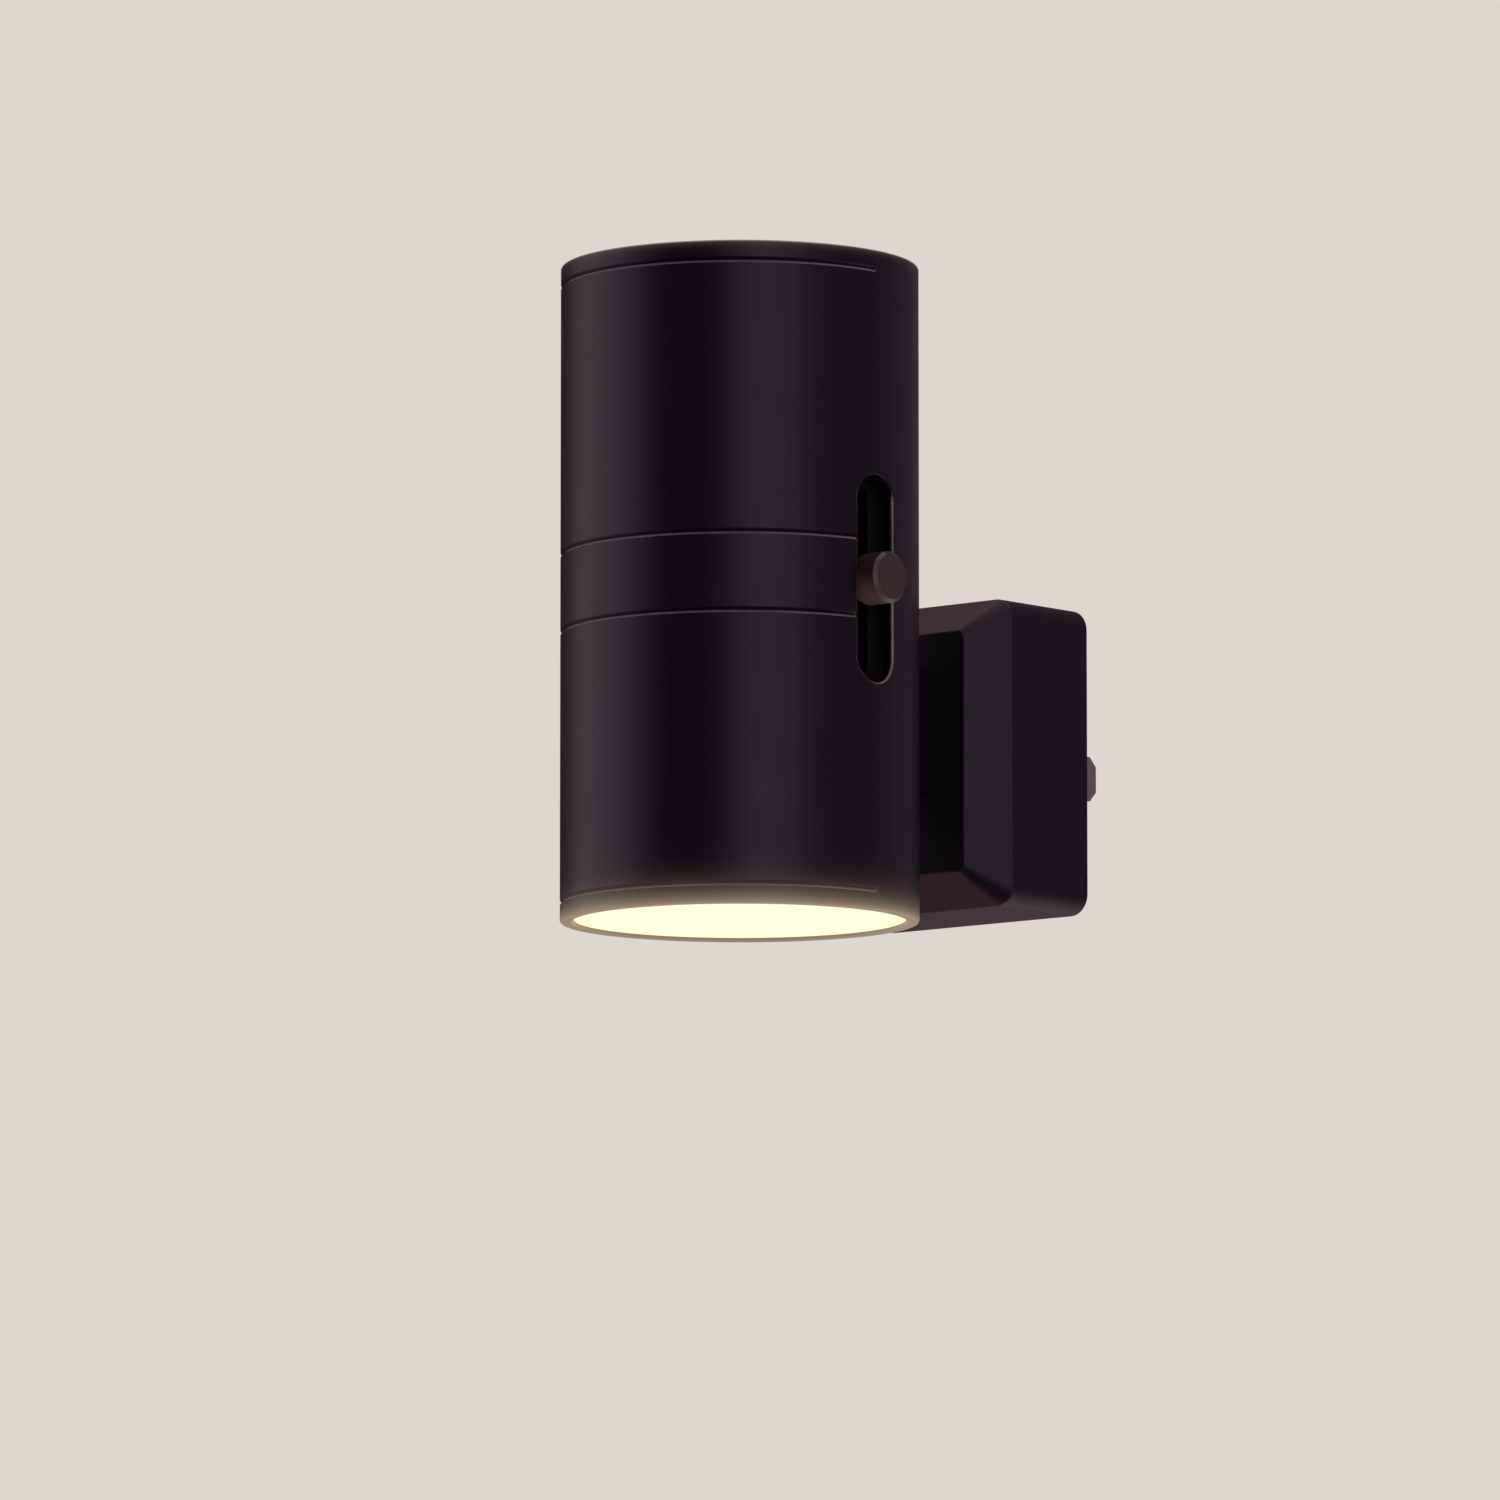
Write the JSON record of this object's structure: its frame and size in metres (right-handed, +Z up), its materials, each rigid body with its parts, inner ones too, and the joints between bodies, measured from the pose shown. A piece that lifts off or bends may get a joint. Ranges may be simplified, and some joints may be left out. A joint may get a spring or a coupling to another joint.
{
  "type": "plug in night light",
  "caption": "Plug-in night light: upright black tube that glows up and down, with a side slide dimmer, on a bevelled two-blade plug base.",
  "frame": {"origin": "centre of the base's flat back face, which rests on the wall plate, midway between the two blades", "axes": "+Y out of the back face into the wall, along the blades; +Z up along the tube; +X towards the side with the slide dimmer"},
  "size_m": [0.0527, 0.0952, 0.092],
  "materials": {
    "satin_black_housing": "satin",
    "satin_black_base": "satin",
    "taupe_black_button": "satin",
    "opal_diffuser": "satin",
    "white_reflector": "gloss",
    "led_package": "satin",
    "white_board": "satin",
    "green_board": "satin",
    "nickel_plated_brass": "satin",
    "zinc_plated_steel": "satin",
    "black_screw_steel": "satin",
    "white_lead": "satin",
    "red_lead": "satin",
    "grey_nylon": "matte",
    "film_capacitor_blue": "gloss",
    "capacitor_sleeve": "gloss",
    "black_epoxy": "matte",
    "resistor_coat": "satin",
    "copper_winding": "satin",
    "carbon_track": "matte",
    "spring_brass": "satin",
    "tinned_brass": "satin"
  },
  "bodies": {
    "housing": {"front_shell": "satin_black_housing", "rear_shell": "satin_black_housing", "shell_screws": "black_screw_steel", "neck_screws": "zinc_plated_steel", "base_housing": "satin_black_base", "back_cover": "satin_black_base", "cover_screws": "black_screw_steel", "line_blade": "nickel_plated_brass", "neutral_blade": "nickel_plated_brass", "driver_board": "green_board", "film_capacitor": "film_capacitor_blue", "smoothing_capacitor": "capacitor_sleeve", "bridge_rectifier": "black_epoxy", "driver_chip": "black_epoxy", "fuse_resistor": "resistor_coat", "filter_choke": "copper_winding", "slot_guide": "grey_nylon", "dimmer_case": "zinc_plated_steel", "dimmer_track": "carbon_track", "dimmer_terminals": "tinned_brass", "control_board": "green_board", "dimmer_leads": "red_lead", "upper_diffuser": "opal_diffuser", "upper_reflector": "white_reflector", "upper_led_board": "white_board", "upper_leds": "led_package", "upper_led_leads": "white_lead", "lower_diffuser": "opal_diffuser", "lower_reflector": "white_reflector", "lower_led_board": "white_board", "lower_leds": "led_package", "lower_led_leads": "white_lead"},
    "slider": {"slider_knob": "taupe_black_button", "slider_carriage": "grey_nylon", "slider_wiper": "spring_brass"}
  },
  "joints": [
    {"name": "dimmer_slide", "type": "slide", "parent": "housing", "child": "slider", "axis": [0, 0, 1], "range_m": [-0.01, 0.01]}
  ]
}
